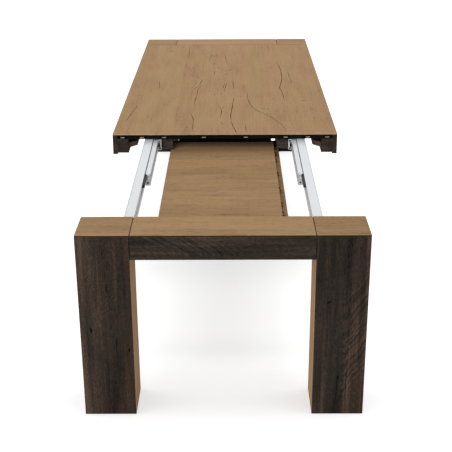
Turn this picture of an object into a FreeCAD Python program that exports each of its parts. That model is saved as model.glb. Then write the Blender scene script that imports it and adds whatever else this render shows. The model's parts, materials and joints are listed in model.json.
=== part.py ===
import FreeCAD, Part
import os
import Sketcher

# Extending dining table in two tones of oak, drawn pulled open.
# The main top is fixed to the far portal of legs. The near portal rides out on telescopic rails and brings
# a carrier with two spare leaves, which lie one on the other, turned by a quarter turn.
# Millimetres, +Z up. The origin is on the floor, at the middle of the opened table, and -Y is the near end.

doc = FreeCAD.newDocument("ExtendingTable")
sheet = doc.addObject("Spreadsheet::Sheet", "Sizes")
size_names = []
nodes = []


class Size:
    """A length with its value now and the sheet formula that drives it."""

    def __init__(self, value, formula):
        self.value = value
        self.formula = formula

    def joined(self, other, sign, value):
        return Size(value, "(" + self.formula + sign + other.formula + ")")

    def __add__(self, other):
        other = as_size(other)
        return self.joined(other, " + ", self.value + other.value)

    def __radd__(self, other):
        return as_size(other) + self

    def __sub__(self, other):
        other = as_size(other)
        return self.joined(other, " - ", self.value - other.value)

    def __rsub__(self, other):
        return as_size(other) - self

    def __mul__(self, other):
        other = as_size(other)
        return self.joined(other, " * ", self.value * other.value)

    def __rmul__(self, other):
        return as_size(other) * self

    def __truediv__(self, other):
        other = as_size(other)
        return self.joined(other, " / ", self.value / other.value)

    def __neg__(self):
        return as_size(-1) * self


def as_size(thing):
    if isinstance(thing, Size):
        return thing
    return Size(float(thing), str(float(thing)))


def size(name, value):
    """Write one driving dimension into the sheet, and give it back for use in formulas."""
    size_names.append(name)
    row = str(len(size_names))
    sheet.set("A" + row, name)
    sheet.set("B" + row, str(value))
    sheet.setAlias("B" + row, name)
    return Size(float(value), "Sizes." + name)


# Overall sizes of the table
table_width = size("table_width", 1070)
table_height = size("table_height", 750)
main_length = size("main_length", 2040)
leaf_width = size("leaf_width", 500)
opening_slack = size("opening_slack", 60)

# Legs and crosspieces
leg_width = size("leg_width", 197)
leg_depth = size("leg_depth", 186)
leg_wall = size("leg_wall", 22)
crosspiece_height = size("crosspiece_height", 96)
crosspiece_wall = size("crosspiece_wall", 22)
lamella = size("lamella", 5)
joint_gap = size("joint_gap", 3)
top_block_height = size("top_block_height", 120)
foot_block_height = size("foot_block_height", 60)
glide_height = size("glide_height", 2)
glide_radius = size("glide_radius", 15)
glide_inset = size("glide_inset", 36)

# Main top, aprons, beams and battens
top_thickness = size("top_thickness", 24)
apron_height = size("apron_height", 99)
apron_wall = size("apron_wall", 22)
apron_rail_width = size("apron_rail_width", 53)
apron_rail_height = size("apron_rail_height", 68)
ledger_width = size("ledger_width", 38)
ledger_height = size("ledger_height", 48)
ledger_setback = size("ledger_setback", 20)
beam_width = size("beam_width", 55)
beam_height = size("beam_height", 56)
beam_setback = size("beam_setback", 30)
batten_width = size("batten_width", 60)
batten_thickness = size("batten_thickness", 20)
batten_first = size("batten_first", 420)
batten_spacing = size("batten_spacing", 480)
batten_count = 3

# Telescopic rails
rail_inset = size("rail_inset", 4)
rail_drop = size("rail_drop", 55)
rail_height = size("rail_height", 50)
rail_gap = size("rail_gap", 1.5)
moving_rail_gap = size("moving_rail_gap", 3.5)
fixed_rail_width = size("fixed_rail_width", 13)
fixed_rail_length = size("fixed_rail_length", 1000)
fixed_rail_setback = size("fixed_rail_setback", 5)
middle_rail_width = size("middle_rail_width", 20)
middle_rail_length = size("middle_rail_length", 860)
middle_share = size("middle_share", 0.6)
moving_rail_width = size("moving_rail_width", 39)
moving_rail_height = size("moving_rail_height", 58)
moving_rail_tail = size("moving_rail_tail", 10)
moving_rail_wall = size("moving_rail_wall", 3)
groove_mouth = size("groove_mouth", 12)
groove_height = size("groove_height", 26)
groove_lip = size("groove_lip", 3)
groove_depth = size("groove_depth", 5)
shoe_clearance = size("shoe_clearance", 0.4)
shoe_length = size("shoe_length", 80)
shoe_margin = size("shoe_margin", 15)
shoe_spacing = size("shoe_spacing", 290)
end_block_length = size("end_block_length", 15)
end_pocket_inset = size("end_pocket_inset", 4)
end_pocket_height = size("end_pocket_height", 15)
end_pocket_depth = size("end_pocket_depth", 9)
end_glide_length = size("end_glide_length", 135)
end_glide_width = size("end_glide_width", 9.7)
end_glide_height = size("end_glide_height", 10)
end_glide_drop = size("end_glide_drop", 2)
end_glide_clearance = size("end_glide_clearance", 0.8)
end_glide_setback = size("end_glide_setback", 2)
end_knob_radius = size("end_knob_radius", 3.5)
end_knob_height = size("end_knob_height", 5)
end_plate_thickness = size("end_plate_thickness", 5)
end_plate_width = size("end_plate_width", 70)
end_plate_inset = size("end_plate_inset", 1)
screw_radius = size("screw_radius", 2.5)
screw_clearance = size("screw_clearance", 0.2)
screw_length = size("screw_length", 25)
screw_head_radius = size("screw_head_radius", 5)
screw_head_height = size("screw_head_height", 3)
screw_edge = size("screw_edge", 15)
screw_spread = size("screw_spread", 17)

# Tongues and pegs that line the leaves up
tongue_width = size("tongue_width", 20)
tongue_thickness = size("tongue_thickness", 4)
tongue_seat = size("tongue_seat", 15)
tongue_reach = size("tongue_reach", 10)
tongue_show = size("tongue_show", 3)
tongue_clearance = size("tongue_clearance", 1)
tongue_level = size("tongue_level", 7.5)
outer_tongue_inset = size("outer_tongue_inset", 48)
second_tongue_inset = size("second_tongue_inset", 57)
third_tongue_inset = size("third_tongue_inset", 49)
inner_tongue_offset = size("inner_tongue_offset", 100)
peg_radius = size("peg_radius", 4)
peg_spread = size("peg_spread", 17)
peg_seat = size("peg_seat", 15)
peg_reach = size("peg_reach", 9)
peg_seat_clearance = size("peg_seat_clearance", 0.05)
peg_clearance = size("peg_clearance", 0.5)
end_clearance = size("end_clearance", 2)

# Leaf carrier
leaf_standoff = size("leaf_standoff", 162)
leaf_drop = size("leaf_drop", 94)
leaf_shift = size("leaf_shift", 13)
leaf_gap = size("leaf_gap", 0.3)
pad_thickness = size("pad_thickness", 1.4)
pad_width = size("pad_width", 30)
pad_edge_inset = size("pad_edge_inset", 50)
pad_end_inset = size("pad_end_inset", 135)
felt_thickness = size("felt_thickness", 2)
felt_width = size("felt_width", 30)
runner_inset = size("runner_inset", 30)
runner_width = size("runner_width", 40)
runner_height = size("runner_height", 20)
runner_nose = size("runner_nose", 12)
runner_tail = size("runner_tail", 173)
strap_thickness = size("strap_thickness", 5)
strap_width = size("strap_width", 40)
strap_setback = size("strap_setback", 13)
stop_board_thickness = size("stop_board_thickness", 18)
stop_board_drop = size("stop_board_drop", 50)
stop_board_inset = size("stop_board_inset", 22)
stop_board_gap = size("stop_board_gap", 3)
stop_board_shoulder = size("stop_board_shoulder", 25)

# Places along the table, from the near end to the far end
opening = leaf_width * 2 + opening_slack
near_front = -(main_length + opening) / 2 - leg_depth
near_back = near_front + leg_depth
main_front = near_back + opening
far_inner = main_front + main_length
far_outer = far_inner + leg_depth

# Places across the table, from the centre line out to one side
side_face = table_width / 2
leg_inner_face = side_face - leg_width
core_side = side_face - apron_wall
apron_rail_inner = core_side - apron_rail_width
ledger_inner = apron_rail_inner - ledger_width
moving_rail_inner = leg_inner_face + rail_inset
moving_rail_outer = moving_rail_inner + moving_rail_width
middle_rail_outer = moving_rail_inner - moving_rail_gap
middle_rail_inner = middle_rail_outer - middle_rail_width
fixed_rail_face = middle_rail_inner - rail_gap
beam_face = fixed_rail_face - fixed_rail_width
beam_inner = beam_face - beam_width
runner_outer = leaf_width / 2 - runner_inset
runner_inner = runner_outer - runner_width
stop_board_side = leaf_width / 2 - stop_board_inset
stop_board_reach = leaf_width / 2 + stop_board_shoulder

# Tongues, from the centre of a joint: one near each side, one on each side of the leg's edge, and one near
# the centre
tongue_offsets = (
    side_face - outer_tongue_inset,
    leg_inner_face + second_tongue_inset,
    leg_inner_face - third_tongue_inset,
    inner_tongue_offset,
)

# Levels above the floor
lamella_bottom = table_height - lamella
top_underside = table_height - top_thickness
crosspiece_bottom = table_height - crosspiece_height
rail_level = table_height - rail_drop
rail_bottom = rail_level - rail_height / 2
rail_top = rail_level + rail_height / 2
moving_rail_bottom = rail_level - moving_rail_height / 2
moving_rail_top = rail_level + moving_rail_height / 2
tongue_axis = top_underside + tongue_level
upper_leaf_bottom = table_height - leaf_drop - top_thickness
lower_leaf_bottom = upper_leaf_bottom - leaf_gap - pad_thickness - top_thickness
runner_top = lower_leaf_bottom - leaf_gap - felt_thickness
runner_bottom = runner_top - runner_height

# Stored leaves and their carrier, along the table
leaf_near = near_back + leaf_standoff
leaf_far = leaf_near + table_width
leaf_middle = leaf_near + table_width / 2
runner_front = leaf_near - runner_nose
runner_back = leaf_far + runner_tail

# Middle rails follow the near portal at a fixed share of its travel
end_glide_front = main_front + end_glide_setback - middle_share * opening
end_block_front = end_glide_front + end_glide_length
middle_rail_front = end_block_front + end_block_length
middle_rail_back = middle_rail_front + middle_rail_length

sides = {"left": -1, "right": 1}
ends = {"near": (near_front, near_back), "far": (far_inner, far_outer)}


def bind(thing, name, length):
    thing.setExpression(name, as_size(length).formula)


def place(thing, x, y, z):
    bind(thing, "Placement.Base.x", x)
    bind(thing, "Placement.Base.y", y)
    bind(thing, "Placement.Base.z", z)


def node(thing):
    """Keep a finished sub-part, whose label names its file."""
    nodes.append(thing)
    return thing


def across(side, inner, outer):
    """The span between two distances from the centre line, on one side of it."""
    if side > 0:
        return inner, outer
    return -outer, -inner


def box(label, x, y, z):
    """A block between the low and high values of x, y and z."""
    block = doc.addObject("Part::Box", label)
    bind(block, "Length", x[1] - x[0])
    bind(block, "Width", y[1] - y[0])
    bind(block, "Height", z[1] - z[0])
    place(block, x[0], y[0], z[0])
    return block


def rod(label, radius, length, start, turn_axis, turn):
    """A round bar from start: along Z unturned, along Y for -90 about X, along X for 90 about Y."""
    bar = doc.addObject("Part::Cylinder", label)
    bar.Placement = FreeCAD.Placement(FreeCAD.Vector(), FreeCAD.Rotation(turn_axis, turn))
    bind(bar, "Radius", radius)
    bind(bar, "Height", length)
    place(bar, *start)
    return bar


def rod_x(label, radius, x, y, z):
    return rod(label, radius, x[1] - x[0], (x[0], y, z), FreeCAD.Vector(0, 1, 0), 90)


def rod_y(label, radius, x, y, z):
    return rod(label, radius, y[1] - y[0], (x, y[0], z), FreeCAD.Vector(1, 0, 0), -90)


def rod_z(label, radius, x, y, z):
    return rod(label, radius, z[1] - z[0], (x, y, z[0]), FreeCAD.Vector(0, 0, 1), 0)


def group(label, pieces):
    bundle = doc.addObject("Part::Compound", label)
    bundle.Links = pieces
    return bundle


def fuse(label, pieces):
    joined = doc.addObject("Part::MultiFuse", label)
    joined.Shapes = pieces
    return joined


def cut(label, blank, tools):
    carved = doc.addObject("Part::Cut", label)
    carved.Base = blank
    carved.Tool = group(label + "_cutters", tools)
    return carved


def prism(label, role, outline, low, high):
    """A body padded from a closed outline on a main plane, from low to high along the third axis."""
    body = doc.addObject("PartDesign::Body", label)
    plane = [feature for feature in body.Origin.OriginFeatures if feature.Role == role][0]
    sketch = body.newObject("Sketcher::SketchObject", label + "_outline")
    sketch.AttachmentSupport = [(plane, "")]
    sketch.MapMode = "FlatFace"
    corners = [(as_size(first), as_size(second)) for first, second in outline]
    for start, stop in zip(corners, corners[1:] + corners[:1]):
        first = FreeCAD.Vector(start[0].value, start[1].value, 0)
        last = FreeCAD.Vector(stop[0].value, stop[1].value, 0)
        sketch.addGeometry(Part.LineSegment(first, last), False)
    for line in range(len(corners)):
        sketch.addConstraint(Sketcher.Constraint("Coincident", line, 2, (line + 1) % len(corners), 1))
    for line, corner in enumerate(corners):
        for kind, length in zip(("DistanceX", "DistanceY"), corner):
            number = sketch.addConstraint(Sketcher.Constraint(kind, -1, 1, line, 1, length.value))
            bind(sketch, "Constraints[" + str(number) + "]", length)
    # The XZ plane faces -Y, so its outline starts at the high end.
    bind(sketch, "AttachmentOffset.Base.z", -high if role == "XZ_Plane" else low)
    pad = body.newObject("PartDesign::Pad", label + "_pad")
    pad.Profile = sketch
    bind(pad, "Length", high - low)
    return body


# Tongues and pegs: where they sit across a joint, as seen along the joint's edge
def tongue_places(centre):
    """The eight places of the tongues about the middle of an edge as long as the table is wide."""
    low = [centre - offset for offset in tongue_offsets]
    high = [centre + offset for offset in reversed(tongue_offsets)]
    return low + high


def peg_places(centre):
    return [spot + sign * peg_spread for spot in tongue_places(centre) for sign in (-1, 1)]


def edge_tongues(label, along_x, centre, face, inward, level, grow, seat, reach):
    """Flat tongues set into an edge at face. inward is +1 or -1; grow widens them for the slots."""
    half_width = tongue_width / 2 + grow
    half_thickness = tongue_thickness / 2 + grow
    depth = (face - reach, face + seat) if inward > 0 else (face - seat, face + reach)
    tongues = []
    for number, spot in enumerate(tongue_places(centre)):
        width = (spot - half_width, spot + half_width)
        x, y = (width, depth) if along_x else (depth, width)
        tongues.append(box(label + str(number), x, y, (level - half_thickness, level + half_thickness)))
    return tongues


def edge_pegs(label, along_x, centre, face, inward, level, radius, seat, reach):
    """Round pegs, or the holes for them, set into an edge at face, in pairs about each tongue."""
    depth = (face - reach, face + seat) if inward > 0 else (face - seat, face + reach)
    pegs = []
    for number, spot in enumerate(peg_places(centre)):
        if along_x:
            pegs.append(rod_y(label + str(number), radius, spot, depth, level))
        else:
            pegs.append(rod_x(label + str(number), radius, depth, spot, level))
    return pegs


def screw_spots(side):
    """Where the screws of one end plate go, as x and z."""
    x = side * (moving_rail_outer + screw_edge)
    return [(x, rail_level - screw_spread), (x, rail_level + screw_spread)]


def portal_cutters(label):
    """Slots, peg seats and screw holes in the near portal's back face."""
    slots = edge_tongues(label + "_slot", True, as_size(0), near_back, -1, tongue_axis,
                         tongue_clearance, tongue_reach + end_clearance, as_size(0))
    seats = edge_pegs(label + "_seat", True, as_size(0), near_back, -1, tongue_axis,
                      peg_radius + peg_seat_clearance, peg_seat, as_size(0))
    holes = []
    for side_name, side in sides.items():
        for number, (x, z) in enumerate(screw_spots(side)):
            depth = (near_back - screw_length, near_back)
            name = label + "_hole_" + side_name + str(number)
            holes.append(rod_y(name, screw_radius + screw_clearance, x, depth, z))
    return slots + seats + holes


# Legs: a folded dark shell, a light inner panel mitred into it, and a light cap
def leg(end_name, side_name):
    label = end_name + "_" + side_name + "_leg"
    side = sides[side_name]
    low, high = ends[end_name]
    outer_lining = side_face - leg_wall
    inner_lining = leg_inner_face + leg_wall
    shell_outline = [
        (side * leg_inner_face, low),
        (side * side_face, low),
        (side * side_face, high),
        (side * leg_inner_face, high),
        (side * inner_lining, high - leg_wall),
        (side * outer_lining, high - leg_wall),
        (side * outer_lining, low + leg_wall),
        (side * inner_lining, low + leg_wall),
    ]
    panel_outline = [
        (side * leg_inner_face, low),
        (side * leg_inner_face, high),
        (side * inner_lining, high - leg_wall),
        (side * inner_lining, low + leg_wall),
    ]
    if end_name == "near":
        blank = prism(label + "_shell_blank", "XY_Plane", shell_outline, glide_height, lamella_bottom)
        node(cut(label + "_shell", blank, portal_cutters(label)))
    else:
        node(prism(label + "_shell", "XY_Plane", shell_outline, glide_height, lamella_bottom))
    node(prism(label + "_inner_panel", "XY_Plane", panel_outline, glide_height, lamella_bottom))
    cap_span = across(side, leg_inner_face, side_face)
    node(box(label + "_cap", cap_span, (low, high), (lamella_bottom, table_height)))


def leg_blocks(end_name):
    """Glue blocks inside the columns of one portal, under the caps and at the feet."""
    low, high = ends[end_name]
    depth = (low + leg_wall, high - leg_wall)
    blocks = []
    for side_name, side in sides.items():
        label = end_name + "_" + side_name
        width = across(side, leg_inner_face + leg_wall, side_face - leg_wall)
        top = (lamella_bottom - top_block_height, lamella_bottom)
        foot = (glide_height, glide_height + foot_block_height)
        blocks.append(box(label + "_top_block", width, depth, top))
        blocks.append(box(label + "_foot_block", width, depth, foot))
    node(group(end_name + "_leg_blocks", blocks))


def leg_glides(end_name):
    """Four plastic glides under each leg of one portal."""
    low, high = ends[end_name]
    glides = []
    for side_name, side in sides.items():
        for column, x in enumerate((leg_inner_face + glide_inset, side_face - glide_inset)):
            for row, y in enumerate((low + glide_inset, high - glide_inset)):
                label = end_name + "_" + side_name + "_glide" + str(column) + str(row)
                glides.append(rod_z(label, glide_radius, side * x, y, (as_size(0), glide_height)))
    node(group(end_name + "_glides", glides))


# Crosspieces: a dark trough, a core beam in it and a light lamella on top
def crosspiece(end_name):
    label = end_name + "_crosspiece"
    low, high = ends[end_name]
    outline = [
        (low, crosspiece_bottom),
        (high, crosspiece_bottom),
        (high, lamella_bottom),
        (high - crosspiece_wall, lamella_bottom),
        (high - crosspiece_wall, crosspiece_bottom + crosspiece_wall),
        (low + crosspiece_wall, crosspiece_bottom + crosspiece_wall),
        (low + crosspiece_wall, lamella_bottom),
        (low, lamella_bottom),
    ]
    if end_name == "near":
        blank = prism(label + "_shell_blank", "YZ_Plane", outline, -leg_inner_face, leg_inner_face)
        node(cut(label + "_shell", blank, portal_cutters(label)))
    else:
        node(prism(label + "_shell", "YZ_Plane", outline, -leg_inner_face, leg_inner_face))
    core_depth = (low + crosspiece_wall, high - crosspiece_wall)
    core_levels = (crosspiece_bottom + crosspiece_wall, lamella_bottom)
    node(box(label + "_core", (-leg_inner_face, leg_inner_face), core_depth, core_levels))
    top_end = leg_inner_face - joint_gap
    node(box(label + "_top", (-top_end, top_end), (low, high), (lamella_bottom, table_height)))


def portal_pegs():
    pegs = edge_pegs("portal_peg", True, as_size(0), near_back, -1, tongue_axis,
                     peg_radius, peg_seat, peg_reach)
    node(group("portal_pegs", pegs))


# Main top with its aprons, ledgers, beams and battens
def main_top():
    top_levels = (lamella_bottom, table_height)
    node(box("main_top_lamella", (-side_face, side_face), (main_front, far_inner - joint_gap), top_levels))
    core = box("main_top_core_blank", (-core_side, core_side), (main_front, far_inner),
               (top_underside, lamella_bottom))
    seat = tongue_seat + tongue_reach - tongue_show
    pockets = edge_tongues("main_pocket", True, as_size(0), main_front, 1, tongue_axis,
                           as_size(0), seat, as_size(0))
    holes = edge_pegs("main_peg_hole", True, as_size(0), main_front, 1, tongue_axis,
                      peg_radius + peg_clearance, peg_reach + end_clearance, as_size(0))
    node(cut("main_top_core", core, pockets + holes))
    # The loose tongues are pushed back while the table stands open, and only their tips show.
    tongues = edge_tongues("main_tongue", True, as_size(0), main_front, 1, tongue_axis,
                           as_size(0), seat, tongue_show)
    node(group("main_top_tongues", tongues))


def aprons():
    length = (main_front, far_inner)
    ledgers = []
    for side_name, side in sides.items():
        panel_levels = (table_height - apron_height, lamella_bottom)
        node(box(side_name + "_apron_panel", across(side, core_side, side_face), length, panel_levels))
        rail_levels = (top_underside - apron_rail_height, top_underside)
        rail_span = across(side, apron_rail_inner, core_side)
        node(box(side_name + "_apron_rail", rail_span, length, rail_levels))
        # The front end of a ledger is mitred, so that it runs back towards the centre line.
        ledger_outline = [
            (side * ledger_inner, main_front + ledger_setback + ledger_width),
            (side * apron_rail_inner, main_front + ledger_setback),
            (side * apron_rail_inner, far_inner),
            (side * ledger_inner, far_inner),
        ]
        ledger_label = side_name + "_apron_ledger"
        ledger_bottom = top_underside - ledger_height
        ledgers.append(prism(ledger_label, "XY_Plane", ledger_outline, ledger_bottom, top_underside))
    node(group("apron_ledgers", ledgers))


def beams_and_battens():
    for side_name, side in sides.items():
        span = across(side, beam_inner, beam_face)
        length = (main_front + beam_setback, far_inner)
        node(box(side_name + "_slide_beam", span, length, (top_underside - beam_height, top_underside)))
    battens = []
    for number in range(batten_count):
        front = main_front + batten_first + number * batten_spacing
        levels = (top_underside - batten_thickness, top_underside)
        span = (-beam_inner, beam_inner)
        battens.append(box("top_batten" + str(number), span, (front, front + batten_width), levels))
    node(group("top_battens", battens))


# Rails: extrusions with a T groove in each face that meets the next rail
def groove(face, inward):
    """The outline of a T groove from bottom to top. face is its distance from the centre line."""
    lip = face + inward * groove_lip
    floor = lip + inward * groove_depth
    half_mouth = groove_mouth / 2
    half_height = groove_height / 2
    return [
        (face, rail_level - half_mouth),
        (lip, rail_level - half_mouth),
        (lip, rail_level - half_height),
        (floor, rail_level - half_height),
        (floor, rail_level + half_height),
        (lip, rail_level + half_height),
        (lip, rail_level + half_mouth),
        (face, rail_level + half_mouth),
    ]


def mirrored(outline, side):
    return [(side * x, z) for x, z in outline]


def fixed_rail(side_name, side):
    outline = [(beam_face, rail_bottom), (fixed_rail_face, rail_bottom)]
    outline += groove(fixed_rail_face, -1)
    outline += [(fixed_rail_face, rail_top), (beam_face, rail_top)]
    front = main_front + fixed_rail_setback
    # Where the rail runs ahead of its beam it is held by the beam behind it.
    back = front + fixed_rail_length
    node(prism(side_name + "_fixed_rail", "XZ_Plane", mirrored(outline, side), front, back))


def middle_rail(side_name, side):
    outline = [(middle_rail_inner, rail_bottom), (middle_rail_outer, rail_bottom)]
    outline += groove(middle_rail_outer, -1)
    outline += [(middle_rail_outer, rail_top), (middle_rail_inner, rail_top)]
    outline += groove(middle_rail_inner, 1)[::-1]
    label = side_name + "_middle_rail"
    node(prism(label, "XZ_Plane", mirrored(outline, side), middle_rail_front, middle_rail_back))


def moving_rail(side_name, side):
    outline = [(moving_rail_inner, moving_rail_bottom), (moving_rail_outer, moving_rail_bottom)]
    outline += [(moving_rail_outer, moving_rail_top), (moving_rail_inner, moving_rail_top)]
    outline += groove(moving_rail_inner, 1)[::-1]
    front = near_back + end_plate_thickness
    back = runner_back + moving_rail_tail
    label = side_name + "_moving_rail"
    blank = prism(label + "_blank", "XZ_Plane", mirrored(outline, side), front, back)
    hollow_inner = moving_rail_inner + groove_lip + groove_depth + moving_rail_wall
    hollow_span = across(side, hollow_inner, moving_rail_outer - moving_rail_wall)
    hollow_levels = (moving_rail_bottom + moving_rail_wall, moving_rail_top - moving_rail_wall)
    node(cut(label, blank, [box(label + "_hollow", hollow_span, (front, back), hollow_levels)]))


def shoe(label, side, own_face, other_face, outward, front):
    """A nylon shoe: a head that fills the middle rail's groove, a neck, and a head in the next rail."""
    length = (front, front + shoe_length)
    own_lip = own_face - outward * groove_lip
    own_floor = own_lip - outward * groove_depth
    other_lip = other_face + outward * (groove_lip + shoe_clearance)
    other_floor = other_face + outward * (groove_lip + groove_depth - shoe_clearance)
    half_neck = groove_mouth / 2 - shoe_clearance
    half_head = groove_height / 2 - shoe_clearance
    own_levels = (rail_level - groove_height / 2, rail_level + groove_height / 2)
    neck_levels = (rail_level - half_neck, rail_level + half_neck)
    head_levels = (rail_level - half_head, rail_level + half_head)
    own_span = (own_floor, own_lip) if outward > 0 else (own_lip, own_floor)
    neck_span = (own_lip, other_lip) if outward > 0 else (other_lip, own_lip)
    head_span = (other_lip, other_floor) if outward > 0 else (other_floor, other_lip)
    blocks = [
        box(label + "_own", across(side, *own_span), length, own_levels),
        box(label + "_neck", across(side, *neck_span), length, neck_levels),
        box(label + "_head", across(side, *head_span), length, head_levels),
    ]
    return fuse(label, blocks)


def rail_shoes(side_name, side):
    """Two shoes towards the moving rail at the front, and two towards the fixed rail at the back."""
    shoes = []
    for number in range(2):
        step = number * shoe_spacing
        front = middle_rail_front + shoe_margin + step
        label = side_name + "_outer_shoe" + str(number)
        shoes.append(shoe(label, side, middle_rail_outer, moving_rail_inner, 1, front))
        front = middle_rail_back - shoe_margin - shoe_length - step
        label = side_name + "_inner_shoe" + str(number)
        shoes.append(shoe(label, side, middle_rail_inner, fixed_rail_face, -1, front))
    node(group(side_name + "_rail_shoes", shoes))


def end_block(side_name, side):
    """The cast block that closes a middle rail's front end, with a pocket in its face."""
    label = side_name + "_end_block"
    length = (end_block_front, middle_rail_front)
    span = across(side, middle_rail_inner, middle_rail_outer)
    blank = box(label + "_blank", span, length, (rail_bottom, rail_top))
    pocket_span = across(side, middle_rail_inner + end_pocket_inset, middle_rail_outer - end_pocket_inset)
    pocket_length = (end_block_front, end_block_front + end_pocket_depth)
    pocket_top = rail_top - end_pocket_inset
    pocket_levels = (pocket_top - end_pocket_height, pocket_top)
    pocket = box(label + "_pocket", pocket_span, pocket_length, pocket_levels)
    node(cut(label, blank, [pocket]))


def end_glide(side_name, side):
    """The black strip ahead of an end block, beside the moving rail, with a round buffer at each end."""
    label = side_name + "_end_glide"
    outer = moving_rail_inner - end_glide_clearance
    top = rail_top - end_glide_drop
    length = (end_glide_front, end_block_front)
    span = across(side, outer - end_glide_width, outer)
    strip = box(label + "_strip", span, length, (top - end_glide_height, top))
    knob_x = side * (outer - end_glide_width / 2)
    knob_levels = (top, top + end_knob_height)
    front_y = end_glide_front + end_knob_radius
    back_y = end_block_front - end_knob_radius
    front_knob = rod_z(label + "_front_knob", end_knob_radius, knob_x, front_y, knob_levels)
    back_knob = rod_z(label + "_back_knob", end_knob_radius, knob_x, back_y, knob_levels)
    node(fuse(label, [strip, front_knob, back_knob]))


def end_plate(side_name, side):
    """The steel plate that carries a moving rail on the near leg's back face."""
    inner = moving_rail_inner + end_plate_inset
    depth = (near_back, near_back + end_plate_thickness)
    levels = (moving_rail_bottom, moving_rail_top)
    label = side_name + "_end_plate"
    blank = box(label + "_blank", across(side, inner, inner + end_plate_width), depth, levels)
    holes = []
    for number, (x, z) in enumerate(screw_spots(side)):
        holes.append(rod_y(label + "_hole" + str(number), screw_radius + screw_clearance, x, depth, z))
    node(cut(label, blank, holes))


def end_plate_screws():
    screws = []
    for side_name, side in sides.items():
        for number, (x, z) in enumerate(screw_spots(side)):
            label = side_name + "_end_screw" + str(number)
            seat = near_back + end_plate_thickness
            shank = rod_y(label + "_shank", screw_radius, x, (seat - screw_length, seat), z)
            head = rod_y(label + "_head", screw_head_radius, x, (seat, seat + screw_head_height), z)
            screws.append(fuse(label, [shank, head]))
    node(group("end_plate_screws", screws))


# Leaf carrier: straps hung from the moving rails, runners on them, felt, and a stop board behind the leaves
def leaf_carrier():
    runners = []
    felts = []
    for side_name, side in sides.items():
        span = across(side, runner_inner, runner_outer)
        runner_levels = (runner_bottom, runner_top)
        runners.append(box(side_name + "_runner", span, (runner_front, runner_back), runner_levels))
        felt_inner = runner_inner + (runner_width - felt_width) / 2
        felt_span = across(side, felt_inner, felt_inner + felt_width)
        felt_levels = (runner_top, runner_top + felt_thickness)
        felts.append(box(side_name + "_felt", felt_span, (leaf_near, leaf_far), felt_levels))
    node(group("leaf_runners", runners))
    node(group("runner_felts", felts))
    # The stop board has shoulders at the level of the upper leaf, and reaches past both leaves below them.
    board_front = leaf_far + stop_board_gap
    board_top = table_height - stop_board_drop
    shoulder_level = upper_leaf_bottom + top_thickness
    half_board = [
        (stop_board_reach, runner_top),
        (stop_board_reach, shoulder_level),
        (stop_board_side, shoulder_level),
        (stop_board_side, board_top),
    ]
    board_outline = half_board + mirrored(half_board, -1)[::-1]
    node(prism("leaf_stop_board", "XZ_Plane", board_outline, board_front, board_front + stop_board_thickness))
    arm_inner = moving_rail_outer - strap_thickness
    flange_bottom = moving_rail_bottom - strap_thickness
    half_outline = [
        (moving_rail_outer, runner_bottom - strap_thickness),
        (moving_rail_outer, moving_rail_bottom),
        (moving_rail_inner, moving_rail_bottom),
        (moving_rail_inner, flange_bottom),
        (arm_inner, flange_bottom),
        (arm_inner, runner_bottom),
    ]
    outline = half_outline + mirrored(half_outline, -1)[::-1]
    front_strap = runner_front + strap_setback
    back_strap = runner_back - strap_width
    straps = [
        prism("front_strap", "XZ_Plane", outline, front_strap, front_strap + strap_width),
        prism("back_strap", "XZ_Plane", outline, back_strap, runner_back),
    ]
    node(group("leaf_straps", straps))


# Stored leaves: pegs and slots along one long edge, tongues and peg holes along the other
def leaf(label, shift, peg_side, bottom):
    """A leaf whose peg edge faces peg_side, +1 or -1 along X, with its tongues pushed back flush."""
    low = shift - leaf_width / 2
    high = shift + leaf_width / 2
    peg_face, tongue_face = (high, low) if peg_side > 0 else (low, high)
    level = bottom + tongue_level
    levels = (bottom, bottom + top_thickness)
    blank = box(label + "_board_blank", (low, high), (leaf_near, leaf_far), levels)
    slots = edge_tongues(label + "_slot", False, leaf_middle, peg_face, -peg_side, level,
                         tongue_clearance, tongue_reach + end_clearance, as_size(0))
    seats = edge_pegs(label + "_seat", False, leaf_middle, peg_face, -peg_side, level,
                      peg_radius + peg_seat_clearance, peg_seat, as_size(0))
    pockets = edge_tongues(label + "_pocket", False, leaf_middle, tongue_face, peg_side, level,
                           as_size(0), tongue_seat + tongue_reach, as_size(0))
    holes = edge_pegs(label + "_peg_hole", False, leaf_middle, tongue_face, peg_side, level,
                      peg_radius + peg_clearance, peg_reach + end_clearance, as_size(0))
    node(cut(label + "_board", blank, slots + seats + pockets + holes))
    pegs = edge_pegs(label + "_peg", False, leaf_middle, peg_face, -peg_side, level,
                     peg_radius, peg_seat, peg_reach)
    node(group(label + "_pegs", pegs))
    tongues = edge_tongues(label + "_tongue", False, leaf_middle, tongue_face, peg_side, level,
                           as_size(0), tongue_seat + tongue_reach, as_size(0))
    node(group(label + "_tongues", tongues))


def leaf_pads():
    """Felt pads on the lower leaf, which the upper leaf lies on."""
    half = pad_width / 2
    bottom = lower_leaf_bottom + top_thickness
    levels = (bottom, bottom + pad_thickness)
    column_offset = leaf_width / 2 - pad_edge_inset
    pads = []
    for column, x in enumerate((-column_offset, column_offset)):
        for row, y in enumerate((leaf_near + pad_end_inset, leaf_far - pad_end_inset)):
            label = "leaf_pad" + str(column) + str(row)
            pads.append(box(label, (x - half, x + half), (y - half, y + half), levels))
    node(group("leaf_pads", pads))


for end_name in ends:
    for side_name in sides:
        leg(end_name, side_name)
    leg_blocks(end_name)
    leg_glides(end_name)
    crosspiece(end_name)
portal_pegs()
main_top()
aprons()
beams_and_battens()
for side_name, side in sides.items():
    fixed_rail(side_name, side)
    middle_rail(side_name, side)
    moving_rail(side_name, side)
    rail_shoes(side_name, side)
    end_block(side_name, side)
    end_glide(side_name, side)
    end_plate(side_name, side)
end_plate_screws()
leaf_carrier()
leaf("upper_leaf", -leaf_shift, 1, upper_leaf_bottom)
leaf("lower_leaf", leaf_shift, -1, lower_leaf_bottom)
leaf_pads()

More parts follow.
